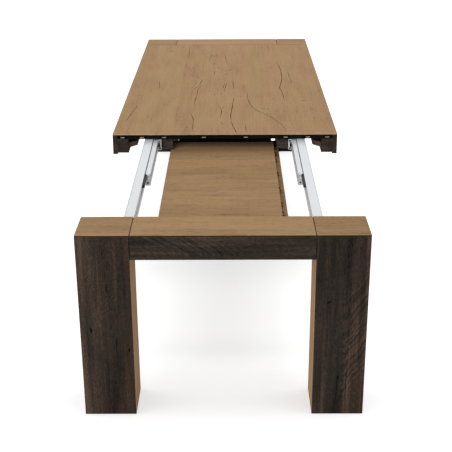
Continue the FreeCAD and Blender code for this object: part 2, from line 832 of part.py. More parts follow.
doc.recompute()
failed = [thing.Label for thing in doc.Objects if "Invalid" in thing.State or "Error" in thing.State]
failed += [thing.Label for thing in nodes if thing.Shape.isNull() or not thing.Shape.isValid()]
if failed:
    raise RuntimeError("these did not build: " + ", ".join(failed))

os.makedirs("parts", exist_ok=True)
for thing in nodes:
    thing.Shape.exportStep("parts/" + thing.Label + ".step")
print(len(nodes), "nodes written")
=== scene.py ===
# %% [markdown]
# # An extending dining table in two tones of oak
# The table is pulled open: the near pair of legs has come out on aluminium rails, and two spare leaves lie
# between the rails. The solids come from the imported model, already in place and at real size in metres.
# This lesson gives them their finish: eased edges, grain that runs the right way in every board, cracks
# filled with dark putty, drawn aluminium and moulded nylon.

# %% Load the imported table
import json
import math

import bmesh
import bpy
import numpy as np
from mathutils import Matrix, Vector


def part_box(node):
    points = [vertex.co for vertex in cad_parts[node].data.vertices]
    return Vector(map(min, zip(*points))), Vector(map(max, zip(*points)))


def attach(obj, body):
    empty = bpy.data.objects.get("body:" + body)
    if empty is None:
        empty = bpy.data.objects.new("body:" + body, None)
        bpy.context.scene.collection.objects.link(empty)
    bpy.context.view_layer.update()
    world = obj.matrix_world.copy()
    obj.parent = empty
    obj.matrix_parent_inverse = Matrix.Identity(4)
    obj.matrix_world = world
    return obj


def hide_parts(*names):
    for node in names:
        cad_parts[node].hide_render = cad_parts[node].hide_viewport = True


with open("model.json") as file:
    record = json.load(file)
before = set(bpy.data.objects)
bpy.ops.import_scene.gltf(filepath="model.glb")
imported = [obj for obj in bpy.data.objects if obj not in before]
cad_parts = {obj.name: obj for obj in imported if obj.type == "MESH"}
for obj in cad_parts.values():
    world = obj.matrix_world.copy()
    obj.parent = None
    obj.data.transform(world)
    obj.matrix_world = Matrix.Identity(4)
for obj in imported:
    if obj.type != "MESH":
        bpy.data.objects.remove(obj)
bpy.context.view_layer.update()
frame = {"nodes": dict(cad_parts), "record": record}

millimetre = 0.001
portals = ("near", "far")
sides = ("left", "right")
nodes = frame["nodes"]
record = frame["record"]
slot_of = {part["node"]: part["material_slot"] for part in record["subparts"]}
body_of = {node: body for body, names in record["behaviour"]["bodies"].items() for node in names}

# %% [markdown]
# ## Writing shader maths as Python
# A material is a graph of nodes. Linking them one by one hides the formula, so a small class wraps a socket
# and overloads the operators: `1 - mask * 0.5` then adds its Math nodes by itself. Any other node comes from
# one method, which takes the node's type, its settings and what goes into its sockets.


# %% A socket that takes part in sums
def operator(operation, swapped=False):
    """A method that adds a Math node; swapped is for a wire on the right of its operator."""

    def method(self, other=0.0):
        pair = {0: other, 1: self} if swapped else {0: self, 1: other}
        return self.paint.node("ShaderNodeMath", {"operation": operation}, pair)["Value"]

    return method


class Wire:
    """An output socket. Sums with numbers or other wires add Math nodes to the same material."""

    __add__ = operator("ADD")
    __radd__ = operator("ADD", swapped=True)
    __sub__ = operator("SUBTRACT")
    __rsub__ = operator("SUBTRACT", swapped=True)
    __mul__ = operator("MULTIPLY")
    __rmul__ = operator("MULTIPLY", swapped=True)
    __truediv__ = operator("DIVIDE")
    __pow__ = operator("POWER")
    floor = operator("FLOOR")
    sine = operator("SINE")

    def __init__(self, paint, socket):
        self.paint = paint
        self.socket = socket


def find_socket(sockets, name):
    """A socket by number, by identifier or by name, in that order."""
    if isinstance(name, int):
        return sockets[name]
    keys = ("identifier", "name")
    return [socket for key in keys for socket in sockets if getattr(socket, key) == name][0]


print("wires take part in sums")


# %% A material that is being mixed
class Paint:
    """The nodes of one material or world, and helpers that add to them."""

    def __init__(self, owner):
        owner.use_nodes = True
        self.owner = owner
        self.tree = owner.node_tree

    def node(self, kind, settings=None, sockets=None):
        """Add a node, set it, a ramp's stops too, and fill its sockets. Gives its outputs as wires."""
        made = self.tree.nodes.new(kind)
        for name, value in (settings or {}).items():
            if name == "stops":
                self.set_stops(made.color_ramp.elements, value)
            else:
                setattr(made, name, value)
        self.fill(made, sockets or {})
        wires = {}
        for socket in made.outputs:
            wires.setdefault(socket.name, Wire(self, socket))
            wires[socket.identifier] = Wire(self, socket)
        return wires

    def fill(self, made, sockets):
        for name, value in sockets.items():
            socket = find_socket(made.inputs, name)
            if isinstance(value, Wire):
                self.tree.links.new(value.socket, socket)
            else:
                socket.default_value = value

    def set_stops(self, elements, stops):
        while len(elements) < len(stops):
            elements.new(1.0)
        for element, (position, colour) in zip(elements, stops):
            element.position = position
            element.color = (*colour, 1.0)

    def object_place(self, scale=(1.0, 1.0, 1.0)):
        place = self.node("ShaderNodeTexCoord")["Object"]
        return self.node("ShaderNodeMapping", None, {"Vector": place, "Scale": scale})["Vector"]

    def attribute(self, name, output):
        return self.node("ShaderNodeAttribute", {"attribute_name": name})[output]

    def join(self, x, y, z):
        return self.node("ShaderNodeCombineXYZ", None, {"X": x, "Y": y, "Z": z})["Vector"]

    def split(self, vector):
        parts = self.node("ShaderNodeSeparateXYZ", None, {"Vector": vector})
        return parts["X"], parts["Y"], parts["Z"]

    def noise(self, vector, scale, detail, roughness=0.5):
        sockets = {"Vector": vector, "Scale": scale, "Detail": detail, "Roughness": roughness}
        return self.node("ShaderNodeTexNoise", None, sockets)["Fac"]

    def step(self, value, low, high):
        """0 below low, 1 above high, and a smooth rise between; low may be the larger one."""
        settings = {"interpolation_type": "SMOOTHSTEP"}
        sockets = {"Value": value, "From Min": low, "From Max": high}
        return self.node("ShaderNodeMapRange", settings, sockets)["Result"]

    def ramp(self, value, stops):
        return self.node("ShaderNodeValToRGB", {"stops": stops}, {"Fac": value})["Color"]

    def mix(self, factor, first, second, blend="MIX"):
        settings = {"data_type": "RGBA", "blend_type": blend}
        sockets = {"Factor_Float": factor, "A_Color": first, "B_Color": second}
        return self.node("ShaderNodeMix", settings, sockets)["Result_Color"]

    def bump(self, height, strength, distance):
        sockets = {"Height": height, "Strength": strength, "Distance": distance}
        return self.node("ShaderNodeBump", None, sockets)["Normal"]

    def finish(self, **sockets):
        """Set the Principled shader's sockets; a name's underscores stand for spaces."""
        shader = self.tree.nodes["Principled BSDF"]
        self.fill(shader, {name.replace("_", " "): value for name, value in sockets.items()})
        return self.owner


materials = {}
print("shader helpers ready")

# %% [markdown]
# ## Oak, pale and smoked
# Oak shows staves glued side by side, growth rings that a saw cuts into arches, short dark pores along the
# grain, and smudges where sap has dried. The lines on a sawn face are the contours of a slow noise: they run
# along the grain, bend into arches and close round knots. The boards carry their own grain coordinates in an
# attribute: X along the grain, Y across it and Z into the board, so one finish serves boards that run in any
# direction. A second attribute, tone, makes a board or a part of it paler or darker, and a third, heart,
# says where the saw left a row of pointed arches. The tops are pale and the legs smoked; the legs' inner
# panels get the pale finish once more, with warmer tints.

# %% Staves and arches
joint_wander = 0.45
arch_slope = 1.5
arch_blunt = 0.010
arch_count = 62.0
arch_wave = 0.05
arch_fade = 0.06
joint_beside = 0.010


def stave_chances(paint, across, stave):
    """The number of the stave at a place, and three chances that hold all over that stave.

    The joints lie a stave's width apart, moved by a noise across the grain.
    """
    count = across / stave
    bowed = count + joint_wander * paint.noise(paint.join(0.0, count, 0.0), 0.6, 0.0)
    number = bowed.floor()
    chance = paint.node("ShaderNodeTexWhiteNoise", {"noise_dimensions": "1D"}, {"W": number})["Color"]
    return number, paint.split(chance)


def heart_arches(paint, along, across, number, wave):
    """Pointed arches: how much they lighten or darken the board.

    They are bands of a noise along reach = along - slope * sqrt(beside^2 + blunt^2), measured from the
    heart's place, so their spacing is uneven. A stave's joint cuts them off on one side, and they stay on
    faces square to Y, since the sides of a leg are other boards.
    """
    heart_along, heart_across, heart_length = paint.split(paint.attribute("heart", "Vector"))
    beside = across - heart_across
    rise = (beside * beside + arch_blunt ** 2) ** 0.5
    reach = along - heart_along - arch_slope * (rise - arch_blunt) + arch_wave * (wave - 0.5)
    bands = paint.step(paint.noise(paint.join(reach * arch_count, number * 5.3, 0.0), 1.0, 1.5), 0.42, 0.60)
    shown = paint.step(reach, 0.0, arch_fade) * paint.step(reach, heart_length, heart_length - arch_fade)
    shown = shown * paint.step(beside, -joint_beside, 0.0)
    facing = paint.split(paint.node("ShaderNodeNewGeometry")["True Normal"])[1]
    return shown * paint.step(facing * facing, 0.2, 0.8) * (0.45 - bands)


print("arch lines slope", arch_slope, "to 1")

# %% The oak finish
oak_gloss = 0.025
oak_relief = 0.25 * millimetre
middle_value = 0.55
ring_count = 22
pitch = {
    "figure": (3.4, 8.0), "patch": (3.0, 13.0), "strip": (2.2, 36.0), "streak": (3.0, 170.0),
    "pore": (32.0, 520.0), "smudge": (8.0, 64.0), "wave": (7.0, 22.0),
}


def oak(name, stops, tints, stave, roughness, amounts):
    """Oak in grain coordinates, in metres; stave is a stave's width.

    value = middle + the sum of each mark's amount times its pattern, and the stops turn it into a colour. A
    pattern is a noise with so many repeats per metre along the grain and across it. A stave leans to one of
    two tints. rings = sin(2 pi ring_count * slow noise), shown only where a second noise is high.
    """
    paint = Paint(bpy.data.materials.new(name))
    piece_tone = paint.attribute("tone", "Fac")
    along, across, depth = paint.split(paint.attribute("grain", "Vector"))

    def pattern(lengthwise, sideways, detail=2.0):
        place = paint.join(along * lengthwise, across * sideways, depth * sideways)
        return paint.noise(place, 1.0, detail)

    number, (tone, shift, lean) = stave_chances(paint, across, stave)
    ring_place = paint.join(along * 3.6 + shift * 40.0, across * 9.0 + number * 3.7, depth * 9.0)
    rings = 0.5 + 0.5 * (paint.noise(ring_place, 1.0, 1.0) * (2 * math.pi * ring_count)).sine()
    figured = paint.step(pattern(*pitch["figure"]), 0.48, 0.64)
    patches = pattern(*pitch["patch"])
    strips = pattern(*pitch["strip"])
    streaks = pattern(*pitch["streak"], 3.0)
    speckles = pattern(amounts["speckle_pitch"], 250.0)
    pores = paint.step(pattern(*pitch["pore"]), 0.55, 0.68)
    smudges = paint.step(pattern(*pitch["smudge"]), 0.60, 0.78)
    value = middle_value + amounts["streak"] * (streaks - 0.5) + amounts["speckle"] * (speckles - 0.5)
    value = value + amounts["patch"] * (patches - 0.5) + amounts["strip"] * (strips - 0.5)
    value = value + amounts["stave"] * (tone - 0.5) + piece_tone
    value = value + amounts["ring"] * figured * (0.4 - rings * rings)
    if amounts["arch"]:
        wave = pattern(*pitch["wave"])
        value = value + amounts["arch"] * heart_arches(paint, along, across, number, wave)
    value = value - amounts["pore"] * pores - amounts["smudge"] * smudges
    leaning = paint.step(lean + 0.8 * (patches - 0.5), 0.25, 0.75)
    tint = paint.mix(leaning, (*tints[0], 1.0), (*tints[1], 1.0))
    height = 0.3 * streaks - pores - 0.3 * figured * rings
    return paint.finish(
        Base_Color=paint.mix(1.0, paint.ramp(value, stops), tint, "MULTIPLY"),
        Roughness=roughness + 0.14 * pores + 0.08 * (streaks - 0.5),
        Normal=paint.bump(height, 0.35, oak_relief),
        Specular_IOR_Level=oak_gloss,
    )


print("oak mixes", len(pitch), "patterns")

# %% Three oaks from one finish
pale_stops = [(0.0, (0.030, 0.020, 0.014)), (0.30, (0.235, 0.143, 0.071)),
              (0.55, (0.362, 0.233, 0.123)), (0.95, (0.465, 0.315, 0.177))]
pale_marks = {"streak": 0.30, "speckle": 0.18, "speckle_pitch": 70.0, "patch": 0.28, "strip": 0.18,
              "stave": 0.06, "ring": 0.05, "arch": 0.0, "pore": 0.19, "smudge": 0.14}
pale_tints = {
    "oak_light": [(0.989, 0.964, 0.964), (0.978, 0.975, 0.934)],
    "oak_inner": [(1.100, 0.960, 0.880), (1.090, 0.970, 0.860)],
}
for name, tints in pale_tints.items():
    materials[name] = oak(name, pale_stops, tints, stave=0.095, roughness=0.60, amounts=pale_marks)
materials["oak_dark"] = oak(
    "oak_dark",
    stops=[(0.0, (0.0032, 0.0028, 0.0026)), (0.35, (0.0150, 0.0124, 0.0107)),
           (0.60, (0.0314, 0.0228, 0.0169)), (0.95, (0.0800, 0.0514, 0.0364))],
    tints=[(1.03, 0.955, 0.930), (0.94, 0.965, 0.965)],
    stave=0.085,
    roughness=0.64,
    amounts={"streak": 0.34, "speckle": 0.54, "speckle_pitch": 130.0, "patch": 0.46, "strip": 0.70,
             "stave": 0.12, "ring": 0.09, "arch": 0.20, "pore": 0.22, "smudge": 0.12})
print("oak finishes:", sorted(materials))

# %% [markdown]
# ## Plain woods and putty
# Runners, battens and glue blocks are plain planed wood that nobody sees with the table closed. The slide
# beams are stained brown, and the top's core is stained black, which shows along its front edge. A straight
# grain is enough for them and for the putty, so they read Object coordinates, stretched along the board.

# %% Plain woods
grain_pitch = 90.0
length_pitch = 2.2


def plain_wood(name, pale, dark, along, roughness, gloss):
    """Straight grain: noise stretched about 40 times along one axis sets how pale the wood is."""
    paint = Paint(bpy.data.materials.new(name))
    squeeze = [length_pitch if axis == along else grain_pitch for axis in "XYZ"]
    place = paint.object_place(squeeze)
    grain = paint.noise(place, 1.0, 3.0)
    fine = paint.noise(place, 7.0, 1.0)
    colour = paint.mix(paint.step(grain, 0.30, 0.70), (*dark, 1.0), (*pale, 1.0))
    return paint.finish(Base_Color=colour, Roughness=roughness + 0.15 * (fine - 0.5),
                        Normal=paint.bump(fine, 0.2, 0.2 * millimetre), Specular_IOR_Level=gloss)


plain_woods = {
    "core_wood": ((0.36, 0.235, 0.125), (0.23, 0.145, 0.072), "Y", 0.65, 0.25),
    "beech": ((0.30, 0.22, 0.16), (0.20, 0.14, 0.10), "Y", 0.55, 0.20),
    "black_board": ((0.0050, 0.0045, 0.0045), (0.0020, 0.0020, 0.0020), "X", 0.70, 0.03),
    "stained_board": ((0.050, 0.040, 0.032), (0.026, 0.021, 0.017), "Y", 0.70, 0.05),
    "crack_putty": ((0.070, 0.036, 0.016), (0.038, 0.020, 0.009), "Y", 0.75, 0.05),
}
for name, (pale, dark, along, roughness, gloss) in plain_woods.items():
    materials[name] = plain_wood(name, pale, dark, along, roughness, gloss)
print("plain woods:", list(plain_woods))

# %% [markdown]
# ## Metals, nylon and felt
# Drawn aluminium has fine lines along the bar, which spread its highlights, and its anodised skin is a
# little milky, so it isn't all metal to the shader. Cast and painted parts are grainy instead. Moulded nylon
# is nearly black with a faint skin, and felt is a mat of short fibres.


# %% Metals and soft stuff
def drawn_metal(name, colour, roughness, metallic, line_scale):
    """Metal with fine lines along Y: noise stretched along Y changes the tone and the roughness a little."""
    paint = Paint(bpy.data.materials.new(name))
    lines = paint.noise(paint.object_place((line_scale, 1.5, line_scale)), 1.0, 2.0)
    dull = [0.92 * part for part in colour]
    bright = [1.06 * part for part in colour]
    shade = paint.mix(lines, (*dull, 1.0), (*bright, 1.0))
    return paint.finish(Base_Color=shade, Metallic=metallic, Roughness=roughness + 0.18 * (lines - 0.5),
                        Normal=paint.bump(lines, 0.12, 0.1 * millimetre))


def grainy(name, colour, roughness, metallic, scale, depth, gloss=0.5):
    """A cast, blasted, moulded or fibrous skin: fine even noise in tone, roughness and relief."""
    paint = Paint(bpy.data.materials.new(name))
    place = paint.object_place()
    fine = paint.noise(place, scale, 3.0, 0.6)
    broad = paint.noise(place, scale * 0.06, 2.0)
    dull = [0.72 * part for part in colour]
    bright = [1.28 * part for part in colour]
    shade = paint.mix(0.6 * fine + 0.4 * broad, (*dull, 1.0), (*bright, 1.0))
    return paint.finish(Base_Color=shade, Metallic=metallic, Roughness=roughness + 0.2 * (broad - 0.5),
                        Normal=paint.bump(fine, 0.3, depth * millimetre), Specular_IOR_Level=gloss)


materials["aluminium"] = drawn_metal("aluminium", (0.73, 0.75, 0.77), 0.36, 0.45, 900.0)
materials["steel"] = drawn_metal("steel", (0.60, 0.60, 0.61), 0.38, 1.0, 600.0)
materials["cast_aluminium"] = grainy("cast_aluminium", (0.55, 0.56, 0.58), 0.48, 1.0, 900.0, 0.2)
materials["painted_steel"] = grainy("painted_steel", (0.018, 0.018, 0.019), 0.50, 0.0, 700.0, 0.15)
materials["black_nylon"] = grainy("black_nylon", (0.012, 0.012, 0.013), 0.50, 0.0, 1100.0, 0.1, 0.2)
materials["felt"] = grainy("felt", (0.060, 0.055, 0.050), 0.95, 0.0, 1600.0, 0.6, 0.1)
for node, thing in nodes.items():
    thing.data.materials.clear()
    thing.data.materials.append(materials[slot_of[node]])
print(len(materials), "materials;", len(nodes), "solids wear the one of their slot")

# %% [markdown]
# ## Surfaces from arrays
# A mesh is a list of points and a list of faces. Where the points lie on a grid, both come from whole
# arrays: the points from a formula in two parameters, the faces from the grid's own numbering. A few helpers
# make a closed tube from a grid, join tubes into one piece, and say which body a piece rides on.


# %% Tubes
def tube(grid):
    """A closed tube from a grid of points: quads round its sides, and a flat face at each end."""
    rows, columns = grid.shape[:2]
    number = np.arange(rows * columns).reshape(rows, columns)
    beside = np.roll(number, -1, axis=1)
    quads = np.stack([number[:-1], beside[:-1], beside[1:], number[1:]], axis=2).reshape(-1, 4)
    return grid.reshape(-1, 3), quads.tolist() + [number[0, ::-1].tolist(), number[-1].tolist()]


def joined(parts):
    """Several (points, faces) in one: each part's face numbers move up by the points before it."""
    starts = np.cumsum([0] + [len(points) for points, _ in parts])
    faces = [[number + start for number in face] for (_, part), start in zip(parts, starts) for face in part]
    return np.concatenate([points for points, _ in parts]), faces


print("a tube of 2 rows of 4 points has", len(tube(np.zeros((2, 4, 3)))[1]), "faces")

# %% Pieces that ride on a body
finished = []


def added(name, data):
    """An object in the scene, at the origin, for a mesh, a camera or a lamp."""
    thing = bpy.data.objects.new(name, data)
    bpy.context.scene.collection.objects.link(thing)
    return thing


def placed(name, mesh, body, replaces):
    """An object for a mesh that rides on a body and stands for some solids."""
    thing = added(name, mesh)
    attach(thing, body)
    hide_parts(*replaces)
    finished.append(name)
    return thing


def piece(name, shape, body, slot, replaces=(), material=None):
    """A piece from (points, faces), facing outwards, in its slot's finish unless a material is named."""
    points, faces = shape
    mesh = bpy.data.meshes.new(name)
    mesh.from_pydata(points.tolist(), [], faces)
    work = bmesh.new()
    work.from_mesh(mesh)
    bmesh.ops.recalc_face_normals(work, faces=work.faces)
    work.to_mesh(mesh)
    work.free()
    mesh.materials.append(materials[material or slot])
    return placed(name, mesh, body, replaces)


def mesh_points(mesh):
    """A mesh's points as rows of x, y and z."""
    points = np.empty(len(mesh.vertices) * 3)
    mesh.vertices.foreach_get("co", points)
    return points.reshape(-1, 3)


def solid_boxes(node):
    """The lowest and highest corner of each separate solid in a node, from left to right and front to back.

    Corners that meet get one number; each triangle then gives its lowest number to its three corners, again
    and again, until every solid shares one number.
    """
    mesh = nodes[node].data
    points = mesh_points(mesh)
    corners = np.empty(len(mesh.loops), int)
    mesh.loops.foreach_get("vertex_index", corners)
    meeting = np.unique(np.round(points, 5), axis=0, return_inverse=True)[1].ravel()
    triangles = meeting[corners].reshape(-1, 3)
    label = np.arange(meeting.max() + 1)
    while True:
        spread = label.copy()
        lowest = np.repeat(spread[triangles].min(axis=1), 3)
        np.minimum.at(spread, triangles.ravel(), lowest)
        if (spread == label).all():
            break
        label = spread
    groups = [points[label[meeting] == number] for number in np.unique(label)]
    boxes = [(group.min(axis=0), group.max(axis=0)) for group in groups]
    return sorted(boxes, key=lambda box: tuple(np.round(box[0], 4)))


print("the near legs' glides are", len(solid_boxes("near_glides")), "separate solids")

# %% [markdown]
# ## Boards with eased edges
# A joiner takes the sharp edge off every board with two strokes of sandpaper. The board here is a rounded
# rectangle carried along the board, which starts and ends a little smaller. The eased edge catches the light
# as a thin line, which a sharp box never does.

# %% The eased board
axis_number = {"X": 0, "Y": 1, "Z": 2}
easing_steps = 4
plan_share = 1.25


def end_rounding(length, radius, steps):
    """The rows of a tube whose two ends are rounded: how far along each row lies, and how much it draws in.

    t runs from 0 to a quarter turn at each end: a row lies radius * (1 - cos t) in from the end, and its
    section is radius * (1 - sin t) smaller all round.
    """
    turn = np.linspace(0, math.pi / 2, steps)
    inward = radius * (1 - np.cos(turn))
    rise = np.concatenate([inward, length - inward[::-1]])
    return rise, radius * (1 - np.sin(np.concatenate([turn, turn[::-1]])))


def board(low, high, ease, along="Y"):
    """A box with rounded edges, as a tube along one axis.

    Both ends are rounded by ease, and the section's corners are arcs whose radius is plan, a little more
    than ease, less what the end draws in.
    """
    low, high = np.array([low, high], float)
    third = axis_number[along]
    first, second = [axis for axis in range(3) if axis != third]
    plan = plan_share * ease
    rise, drawn_in = end_rounding(high[third] - low[third], ease, easing_steps)
    radius = (plan - drawn_in)[:, None]
    arc = np.linspace(0, math.pi / 2, easing_steps)
    round_trip = np.concatenate([arc + quarter * math.pi / 2 for quarter in range(4)])
    sign_first = np.repeat([1, -1, -1, 1], easing_steps)
    sign_second = np.repeat([1, 1, -1, -1], easing_steps)
    middle = (low + high) / 2
    half = (high - low) / 2 - plan
    grid = np.empty((len(rise), len(round_trip), 3))
    grid[..., first] = middle[first] + sign_first * half[first] + radius * np.cos(round_trip)
    grid[..., second] = middle[second] + sign_second * half[second] + radius * np.sin(round_trip)
    grid[..., third] = low[third] + rise[:, None]
    return tube(grid)


print("an eased board has", len(board((0, 0, 0), (1, 1, 1), 0.1)[0]), "points")

# %% Grain coordinates
seed_shift = np.array([1.37, 0.613, 0.021])
no_heart = (0.0, 0.0, 0.0)


def lay_grain(thing, along, across, seed, tone=0.0, heart=no_heart, butt_first=1):
    """Give a board its grain coordinates: X along the grain, Y across it, Z into it, shifted by its seed.

    tone is a number, or a function that gives one for each point. heart is where a row of arches starts
    along the grain, where its middle lies across it, and how long it is. butt_first is -1 where the tree
    grew the other way.
    """
    mesh = thing.data
    points = mesh_points(mesh)
    into = ({"X", "Y", "Z"} - {along, across}).pop()
    order = [axis_number[along], axis_number[across], axis_number[into]]
    shift = seed_shift * seed
    growing = np.array([butt_first, 1, 1])
    arches = np.array([heart[0] * butt_first + shift[0], heart[1] + shift[1], heart[2]])
    vectors = {"grain": points[:, order] * growing + shift, "heart": np.tile(arches, (len(points), 1))}
    for name, values in vectors.items():
        attribute = mesh.attributes.new(name, "FLOAT_VECTOR", "POINT")
        attribute.data.foreach_set("vector", values.astype(np.float32).ravel())
    tones = tone(points) if callable(tone) else tone
    shade = mesh.attributes.new("tone", "FLOAT", "POINT")
    shade.data.foreach_set("value", np.broadcast_to(np.float32(tones), len(points)).copy())


def tone_step(axis, place, below, above):
    """A tone for lay_grain: one number below a place along an axis, and another from there on."""
    return lambda points: np.where(points[:, axis_number[axis]] < place, below, above)


def oak_board(node, along, across, seed, tone, ease=1.2 * millimetre):
    """A plain board that stands for a solid, in the oak of the solid's slot."""
    shape = board(*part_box(node), ease, along)
    thing = piece(node + "_finished", shape, body_of[node], slot_of[node], [node])
    lay_grain(thing, along, across, seed, tone)


print("a board's seed moves its grain by", seed_shift.tolist(), "m")

# %% Tops and caps in pale oak
rim = 0.5 * millimetre
joint_line = 0.9 * millimetre
covered_tone = -1.0
main_tone = 0.025
cap_tone = {"near_left": -0.05, "near_right": -0.11, "far_left": 0.0, "far_right": 0.0}
crosspiece_tone = {"near": 0.0, "far": 0.12}
top_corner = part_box("main_top_lamella")[1]
top_level = top_corner.z
rim_level = top_level - rim
dark_joint = tone_step("Y", top_corner.y - joint_line, main_tone, covered_tone)
oak_board("main_top_lamella", "Y", "X", 1, dark_joint)
seed = 10
# The sides' dark veneer runs over the thin boards' edges, so these are dark below their rim.
for end in portals:
    tone = tone_step("Z", rim_level, covered_tone, crosspiece_tone[end])
    oak_board(end + "_crosspiece_top", "X", "Y", seed, tone)
    for side in sides:
        seed += 3
        leg = end + "_" + side
        tone = tone_step("Z", rim_level, covered_tone, cap_tone[leg])
        oak_board(leg + "_leg_cap", "X", "Y", seed, tone)
print("pale boards:", finished)

# %% [markdown]
# ## Pieces with slots and holes
# The leg shells, the leaves and the top's core have slots and peg holes. Their solids are right already, so
# a merged copy keeps every cut, and a Bevel modifier eases its edges. The legs show a paler strip along
# their outer edge, and the ledgers are brown below and black above, where the black is painted shade under
# the top: there a pair of planes cuts the copy, so that the tone can change from one to the other.

# %% Eased copies of the cut pieces
same_place = 0.01 * millimetre
flat_enough = math.radians(1)
edge_angle = math.radians(40)
wood_ease = 0.8 * millimetre
tone_blend = 1.5 * millimetre


def eased_copy(node, ease=wood_ease, cut=None, material=None):
    """A copy of a solid with its triangles merged into flat faces and its edges eased.

    cut is an axis and a place along it, where a pair of planes cuts the copy.
    """
    mesh = nodes[node].data.copy()
    work = bmesh.new()
    work.from_mesh(mesh)
    bmesh.ops.remove_doubles(work, verts=work.verts, dist=same_place)
    bmesh.ops.dissolve_limit(work, angle_limit=flat_enough, verts=work.verts, edges=work.edges)
    if cut:
        axis, place = cut
        across = Vector([float(axis == name) for name in axis_number])
        for beside in (-tone_blend, tone_blend):
            everything = work.verts[:] + work.edges[:] + work.faces[:]
            point = across * (place + beside)
            bmesh.ops.bisect_plane(work, geom=everything, plane_co=point, plane_no=across)
    work.to_mesh(mesh)
    work.free()
    if material:
        mesh.materials[0] = materials[material]
    thing = placed(node + "_finished", mesh, body_of[node], [node])
    easing = thing.modifiers.new("eased_edges", "BEVEL")
    easing.width = ease
    easing.segments = 2
    easing.limit_method = "ANGLE"
    easing.angle_limit = edge_angle
    easing.use_clamp_overlap = False
    return thing


print("edges sharper than", round(math.degrees(edge_angle)), "degrees get eased")

# %% Legs and crosspieces
strip_width = {"left": 24 * millimetre, "right": 13 * millimetre}
strip_tone = 0.13
panel_tone = 0.25
leg_tone = {"left": 0.03, "right": -0.01}
leg_heart = {"left": no_heart, "right": (0.05, 0.447, 0.48)}
crosspiece_heart = (0.10, 0.674, 0.42)
chosen_seed = {"near_right_leg": 58}
for end in portals:
    for side in sides:
        seed += 3
        leg = end + "_" + side + "_leg"
        low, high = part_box(leg + "_shell")
        plain, paler = leg_tone[side], leg_tone[side] + strip_tone
        if side == "left":
            edge = low.x + strip_width[side]
            tone = tone_step("X", edge, paler, plain)
        else:
            edge = high.x - strip_width[side]
            tone = tone_step("X", edge, plain, paler)
        shell = eased_copy(leg + "_shell", cut=("X", edge))
        lay_grain(shell, "Z", "X", chosen_seed.get(leg, seed), tone, leg_heart[side])
        panel = eased_copy(leg + "_inner_panel", material="oak_inner")
        lay_grain(panel, "Z", "Y", seed + 1, panel_tone)
    beam = eased_copy(end + "_crosspiece_shell")
    lay_grain(beam, "X", "Z", seed + 2, 0.0, crosspiece_heart, butt_first=-1)
print(len(finished), "pieces finished")

# %% Aprons, beams, leaves and metal plates
plate_ease = 0.5 * millimetre
cast_ease = 0.6 * millimetre
# The lower leaf is darker than the upper one as painted shade: it lies in the shadow under the upper leaf.
leaf_seed_tone_and_shade = {"upper": (78, -0.05), "lower": (83, -0.22)}
# The ledgers' tones: brown below halfway, and black above as painted shade under the top.
ledger_tone_and_shade = (0.50, -0.50)
for side in sides:
    seed += 3
    lay_grain(eased_copy(side + "_apron_panel"), "Y", "Z", seed)
    lay_grain(eased_copy(side + "_apron_rail"), "Y", "Z", seed + 1)
    eased_copy(side + "_slide_beam", material="stained_board")
    eased_copy(side + "_end_plate", plate_ease)
    eased_copy(side + "_end_block", cast_ease)
for leaf, (leaf_seed, leaf_tone_and_shade) in leaf_seed_tone_and_shade.items():
    lay_grain(eased_copy(leaf + "_leaf_board"), "X", "Y", leaf_seed, leaf_tone_and_shade)
low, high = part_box("apron_ledgers")
halfway = (low.z + high.z) / 2
ledgers = eased_copy("apron_ledgers", cut=("Z", halfway))
lay_grain(ledgers, "Y", "Z", seed, tone_step("Z", halfway, *ledger_tone_and_shade))
for node in ("main_top_core", "leaf_stop_board", "leaf_straps", "end_plate_screws"):
    eased_copy(node, plate_ease)
print(len(finished), "pieces finished")

# %% [markdown]
# ## Small boards and turned parts
# Tongues, runners, battens, felt strips and pads are all small boards, so one loop rounds them off. Pegs,
# glides and buffers are turned: a short profile of distance and radius is swung round an axis.

# %% Loops over the small parts
turned_sides = 28
nose_steps = 5


def turned(low, high, axis, nose):
    """A pin that fills a box: p = centre line + axis * s + r(s) * (cos, sin).

    At both ends r shrinks along a quarter arc whose radius is nose.
    """
    third = axis_number[axis]
    first, second = [number for number in range(3) if number != third]
    rise, drawn_in = end_rounding(high[third] - low[third], nose, nose_steps)
    radius = ((high[first] - low[first]) / 2 - drawn_in)[:, None]
    swing = np.arange(turned_sides) * 2 * math.pi / turned_sides
    grid = np.empty((len(rise), turned_sides, 3))
    grid[..., first] = (low[first] + high[first]) / 2 + radius * np.cos(swing)
    grid[..., second] = (low[second] + high[second]) / 2 + radius * np.sin(swing)
    grid[..., third] = low[third] + rise[:, None]
    return tube(grid)


def rebuilt(node, shapes):
    """One piece that stands for a node made of several solids."""
    piece(node + "_finished", joined(shapes), body_of[node], slot_of[node], [node])


small_boards = {
    "main_top_tongues": 1.4, "upper_leaf_tongues": 1.0, "lower_leaf_tongues": 1.0, "leaf_runners": 1.5,
    "top_battens": 1.5, "runner_felts": 0.6, "leaf_pads": 0.5,
}
for node, ease in small_boards.items():
    rebuilt(node, [board(low, high, ease * millimetre) for low, high in solid_boxes(node)])
turned_parts = {
    "portal_pegs": ("Y", 1.2), "upper_leaf_pegs": ("X", 1.2), "lower_leaf_pegs": ("X", 1.2),
    "near_glides": ("Z", 1.0), "far_glides": ("Z", 1.0),
}
for node, (axis, nose) in turned_parts.items():
    rebuilt(node, [turned(low, high, axis, nose * millimetre) for low, high in solid_boxes(node)])
print("rounded off:", sorted(small_boards) + sorted(turned_parts))

# %% [markdown]
# ## Drawn rails
# An aluminium rail is pressed through a die, so one outline runs along its whole length, with the T groove
# that the nylon shoes run in. The moving rail has a fine groove along the outer edge of its top, and the
# middle rail a shallow channel. A nylon plug closes the moving rail's far end. The fixed rail's front end
# has two small caps, above and below the groove, which stays open for the shoes.


